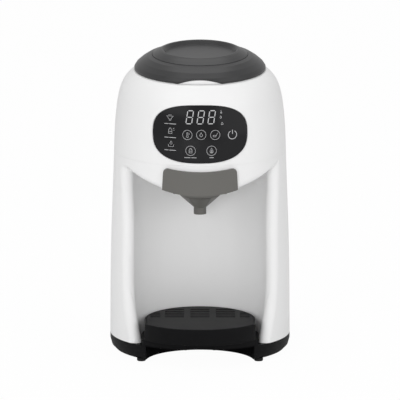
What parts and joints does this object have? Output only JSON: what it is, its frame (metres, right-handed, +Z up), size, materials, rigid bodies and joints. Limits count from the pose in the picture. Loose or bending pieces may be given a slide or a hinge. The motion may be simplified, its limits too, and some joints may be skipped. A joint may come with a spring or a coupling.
{
  "type": "baby formula maker",
  "caption": "Countertop machine that warms water, doses powder and mixes them through a funnel into a bottle standing on a drip tray; lid, tank, funnel and tray come off.",
  "frame": {"origin": "middle of the footprint on the resting plane", "axes": "+Z up, front with panel and bay towards -Y, +X to the right seen from the front"},
  "size_m": [0.1688, 0.25, 0.2898],
  "materials": {
    "white_shell": "semi-gloss moulded",
    "black_base": "satin moulded",
    "black_glass": "high gloss",
    "lid_grey": "satin moulded",
    "funnel_grey": "satin moulded",
    "smoke_clear": "clear smoky plastic",
    "inner_plastic": "plain moulded",
    "rubber_grey": "soft matt",
    "silicone": "soft milky",
    "steel": "bright",
    "aluminium": "cast",
    "board_green": "lacquered board",
    "white_gear": "plain moulded",
    "dark_part": "plain moulded"
  },
  "bodies": {
    "housing": {"front_head": "white_shell", "bay_ceiling": "white_shell", "bay_wall": "white_shell", "side_left": "white_shell", "side_right": "white_shell", "rear_housing": "white_shell", "base_tub": "black_base", "base_cover": "black_base", "feet": "rubber_grey", "base_screws": "steel", "control_panel": "black_glass", "display_board": "board_green", "digit_display": "dark_part", "buzzer": "dark_part", "main_board": "board_green", "power_board": "board_green", "board_standoffs": "inner_plastic", "water_heater": "aluminium", "heater_bracket": "inner_plastic", "thermostat": "steel", "water_pump": "dark_part", "suction_tube": "silicone", "pressure_tube": "silicone", "hot_water_tube": "silicone", "water_nozzle": "inner_plastic", "tank_socket": "dark_part", "tank_seal": "rubber_grey", "powder_hopper": "inner_plastic", "powder_chute": "inner_plastic", "gear_plate": "inner_plastic", "dosing_motor": "steel", "mains_inlet": "dark_part", "lid_hinge_bracket": "lid_grey", "lid_hinge_pin": "steel"},
    "lid": {"lid_ring": "lid_grey", "lid_insert": "lid_grey", "lid_liner": "lid_grey", "lid_seal": "silicone"},
    "dosing_drum": {"dosing_wheel": "white_gear", "stirrer": "white_gear", "wheel_shaft": "steel", "drive_gear": "white_gear"},
    "pinion": {"motor_pinion": "steel"},
    "funnel_drawer": {"funnel_cover": "funnel_grey", "mixing_funnel": "funnel_grey"},
    "drip_tray": {"drip_tray": "black_base"},
    "grille": {"tray_grille": "black_base"},
    "tank": {"water_tank": "smoke_clear", "tank_lid_pin": "steel"},
    "tank_lid": {"tank_lid": "smoke_clear"},
    "poppet": {"valve_poppet": "rubber_grey"}
  },
  "joints": [
    {"name": "lid_hinge", "type": "hinge", "parent": "housing", "child": "lid", "pos_m": [0, 0.03283, 0.274], "axis": [-1, 0, 0], "range_deg": [0, 85]},
    {"name": "dosing_spin", "type": "hinge", "parent": "housing", "child": "dosing_drum", "pos_m": [0, -0.032, 0.2], "axis": [0, 0, 1], "continuous": true},
    {"name": "pinion_spin", "type": "hinge", "parent": "housing", "child": "pinion", "pos_m": [0, -0.004, 0.192], "axis": [0, 0, 1], "continuous": true},
    {"name": "funnel_pull", "type": "slide", "parent": "housing", "child": "funnel_drawer", "axis": [0, -1, 0], "range_m": [0, 0.075]},
    {"name": "tray_pull", "type": "slide", "parent": "housing", "child": "drip_tray", "axis": [0, -1, 0], "range_m": [0, 0.08]},
    {"name": "grille_lift", "type": "slide", "parent": "drip_tray", "child": "grille", "axis": [0, 0, 1], "range_m": [0, 0.03]},
    {"name": "tank_lift", "type": "slide", "parent": "housing", "child": "tank", "axis": [0, 0, 1], "range_m": [0, 0.06]},
    {"name": "tank_lid_hinge", "type": "hinge", "parent": "tank", "child": "tank_lid", "pos_m": [0, 0.119, 0.2345], "axis": [-1, 0, 0], "range_deg": [0, 95]},
    {"name": "poppet_travel", "type": "slide", "parent": "tank", "child": "poppet", "axis": [0, 0, 1], "range_m": [-0.0015, 0]}
  ],
  "couplings": [
    {"joint": "pinion_spin", "follows": "dosing_spin", "ratio": -4},
    {"joint": "poppet_travel", "follows": "tank_lift", "ratio": -0.025}
  ]
}
